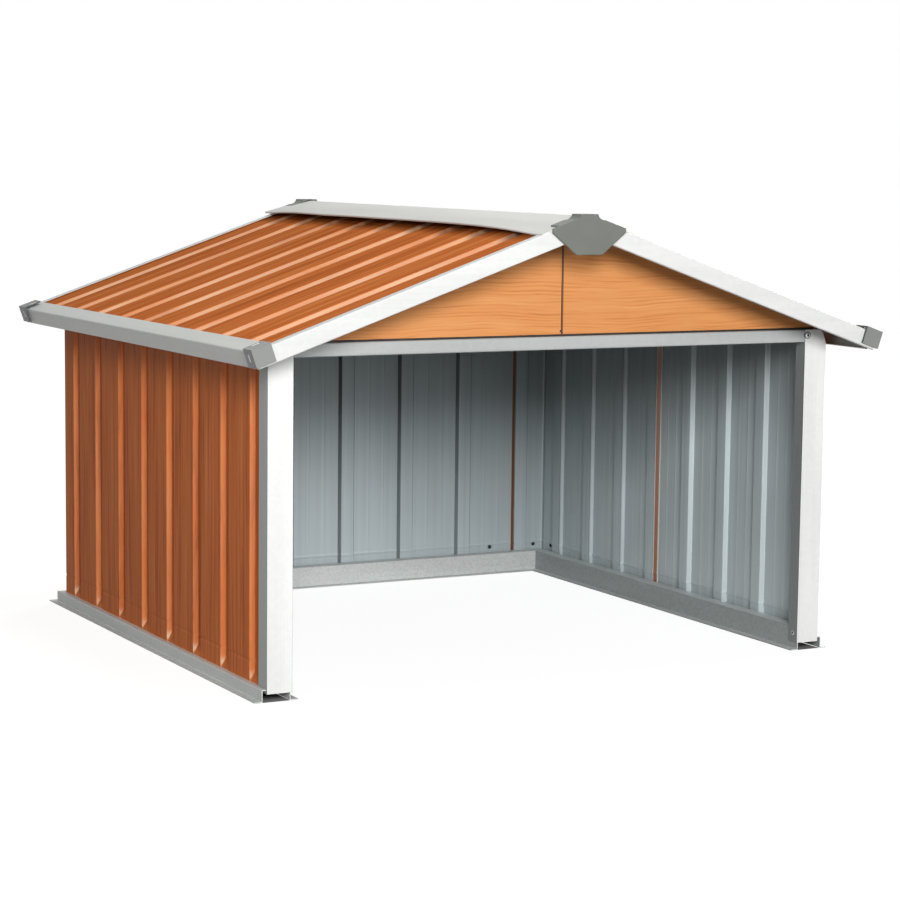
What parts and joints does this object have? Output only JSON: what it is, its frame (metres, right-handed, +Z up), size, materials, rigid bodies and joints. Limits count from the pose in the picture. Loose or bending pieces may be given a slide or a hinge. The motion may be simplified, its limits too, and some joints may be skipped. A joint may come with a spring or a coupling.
{
  "type": "robot mower garage",
  "caption": "Small open-fronted sheet-metal garage for a robot mower, with ribbed wood-print walls, a pitched ribbed roof, folded zinc trims and plastic corner caps.",
  "frame": {"origin": "centre of the ground rectangle under the garage, at ground level", "axes": "+Z up, the open front faces -Y, +X to the right as seen from in front"},
  "size_m": [0.97, 0.92, 0.63],
  "materials": {
    "wood_print_wall": "satin",
    "wood_print_roof": "satin",
    "wood_print_gable": "satin",
    "zinc_frame": "satin",
    "zinc_post": "satin",
    "zinc_trim": "satin",
    "grey_cap": "matte"
  },
  "bodies": {
    "root": {"left_front_wall_panel": "wood_print_wall", "right_front_wall_panel": "wood_print_wall", "left_corner_panel": "wood_print_wall", "right_corner_panel": "wood_print_wall", "back_wall_left_panel": "wood_print_wall", "back_wall_right_panel": "wood_print_wall", "left_roof_front_panel": "wood_print_roof", "left_roof_rear_panel": "wood_print_roof", "right_roof_front_panel": "wood_print_roof", "right_roof_rear_panel": "wood_print_roof", "front_gable_left": "wood_print_gable", "front_gable_right": "wood_print_gable", "rear_gable_left": "wood_print_gable", "rear_gable_right": "wood_print_gable", "left_base_rail": "zinc_frame", "right_base_rail": "zinc_frame", "rear_base_rail": "zinc_frame", "front_header": "zinc_frame", "rear_header": "zinc_frame", "left_top_rail": "zinc_frame", "right_top_rail": "zinc_frame", "front_left_post": "zinc_post", "front_right_post": "zinc_post", "left_eave_trim": "zinc_trim", "right_eave_trim": "zinc_trim", "front_left_verge": "zinc_trim", "front_right_verge": "zinc_trim", "rear_left_verge": "zinc_trim", "rear_right_verge": "zinc_trim", "ridge_cap": "zinc_trim", "front_apex_cap": "grey_cap", "rear_apex_cap": "grey_cap", "front_left_corner_cap": "grey_cap", "front_right_corner_cap": "grey_cap", "rear_left_corner_cap": "grey_cap", "rear_right_corner_cap": "grey_cap"}
  },
  "joints": []
}
